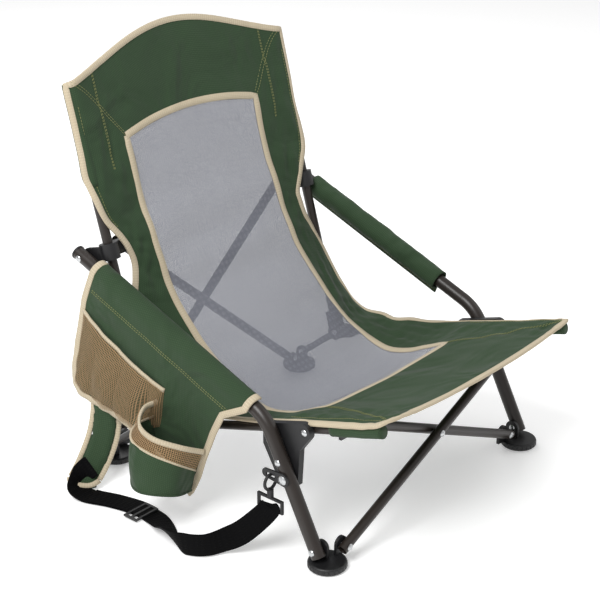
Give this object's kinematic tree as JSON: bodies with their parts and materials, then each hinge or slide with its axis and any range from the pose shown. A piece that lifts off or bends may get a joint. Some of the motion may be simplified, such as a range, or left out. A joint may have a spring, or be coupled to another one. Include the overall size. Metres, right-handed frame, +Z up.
{
  "type": "folding camp chair",
  "caption": "Low folding camp chair with a steel tube frame, crossed front and rear tubes, sling seat with mesh panel, arms, side pocket, cup holder and carrying strap",
  "frame": {"origin": "under the middle of the chair's box, on the floor", "axes": "+Z up, the sitter faces -Y, the sitter's left is +X"},
  "size_m": [0.6564, 0.638, 0.684],
  "materials": {
    "coated_tube": "satin powder coat, near black brown",
    "zinc_rivet": "bright zinc",
    "black_plastic": "moulded, slightly rough",
    "green_fabric": "woven polyester with beige binding",
    "grey_mesh": "open mesh",
    "tan_mesh": "open mesh",
    "black_webbing": "woven webbing"
  },
  "bodies": {
    "right_frame": {"arm_leg_tube_right": "coated_tube", "arm_end_cap_right": "black_plastic", "back_pole_right": "coated_tube", "seat_rail_right": "coated_tube", "rear_link_right": "coated_tube", "rear_elbow_right": "black_plastic", "front_foot_right": "black_plastic", "rear_foot_right": "black_plastic", "slide_collar_right": "black_plastic", "corner_bracket_right": "black_plastic", "rail_clamp_right": "black_plastic", "frame_rivets_right": "zinc_rivet", "arm_cover_right": "green_fabric", "seat_back_fabric": "green_fabric", "mesh_panel": "grey_mesh", "pocket_panel": "green_fabric", "mesh_pocket": "tan_mesh", "cup_holder": "green_fabric", "strap_bracket": "black_plastic", "strap_rivet": "zinc_rivet", "snap_hook": "black_plastic", "strap_webbing": "black_webbing", "shoulder_pad": "green_fabric", "slider_buckle": "black_plastic"},
    "front_tube_right": {"front_cross_tube_right": "coated_tube", "front_cross_rivets_right": "zinc_rivet"},
    "front_tube_left": {"front_cross_tube_left": "coated_tube", "front_cross_rivets_left": "zinc_rivet"},
    "left_frame": {"arm_leg_tube_left": "coated_tube", "arm_end_cap_left": "black_plastic", "back_pole_left": "coated_tube", "seat_rail_left": "coated_tube", "rear_link_left": "coated_tube", "rear_elbow_left": "black_plastic", "front_foot_left": "black_plastic", "rear_foot_left": "black_plastic", "slide_collar_left": "black_plastic", "corner_bracket_left": "black_plastic", "rail_clamp_left": "black_plastic", "frame_rivets_left": "zinc_rivet", "arm_cover_left": "green_fabric"},
    "rear_tube_right": {"rear_cross_tube_right": "coated_tube", "rear_cross_rivets_right": "zinc_rivet"},
    "rear_tube_left": {"rear_cross_tube_left": "coated_tube", "rear_cross_rivets_left": "zinc_rivet"},
    "gate": {"hook_gate": "black_plastic"}
  },
  "joints": [
    {"name": "fold", "type": "hinge", "parent": "right_frame", "child": "front_tube_right", "pos_m": [-0.17375, -0.24675, 0.028], "axis": [0, -1, 0], "range_deg": [0, 50], "deforming": ["seat_back_fabric", "mesh_panel"]},
    {"name": "front_cross", "type": "hinge", "parent": "front_tube_right", "child": "front_tube_left", "pos_m": [0.04825, -0.23875, 0.12777], "axis": [0, 1, 0], "range_deg": [0, 100]},
    {"name": "left_front_foot", "type": "hinge", "parent": "front_tube_left", "child": "left_frame", "pos_m": [0.27025, -0.22975, 0.028], "axis": [0, -1, 0], "range_deg": [0, 50]},
    {"name": "right_rear_foot", "type": "hinge", "parent": "right_frame", "child": "rear_tube_right", "pos_m": [-0.15675, 0.26375, 0.028], "axis": [-0.0951, -0.9893, 0.1109], "range_deg": [0, 38.93]},
    {"name": "left_rear_foot", "type": "hinge", "parent": "left_frame", "child": "rear_tube_left", "pos_m": [0.25325, 0.24675, 0.028], "axis": [-0.0951, 0.9893, -0.1109], "range_deg": [0, 38.93]},
    {"name": "hook_gate", "type": "hinge", "parent": "right_frame", "child": "gate", "pos_m": [-0.21475, -0.14425, 0.11489], "axis": [0, -1, 0], "range_deg": [0, 25], "stiffness_Nm_per_rad": 0.01}
  ],
  "couplings": [
    {"joint": "front_cross", "follows": "fold", "ratio": 2},
    {"joint": "left_front_foot", "follows": "fold", "ratio": 1},
    {"joint": "right_rear_foot", "follows": "fold", "ratio": 0.7777},
    {"joint": "left_rear_foot", "follows": "fold", "ratio": 0.7777}
  ]
}
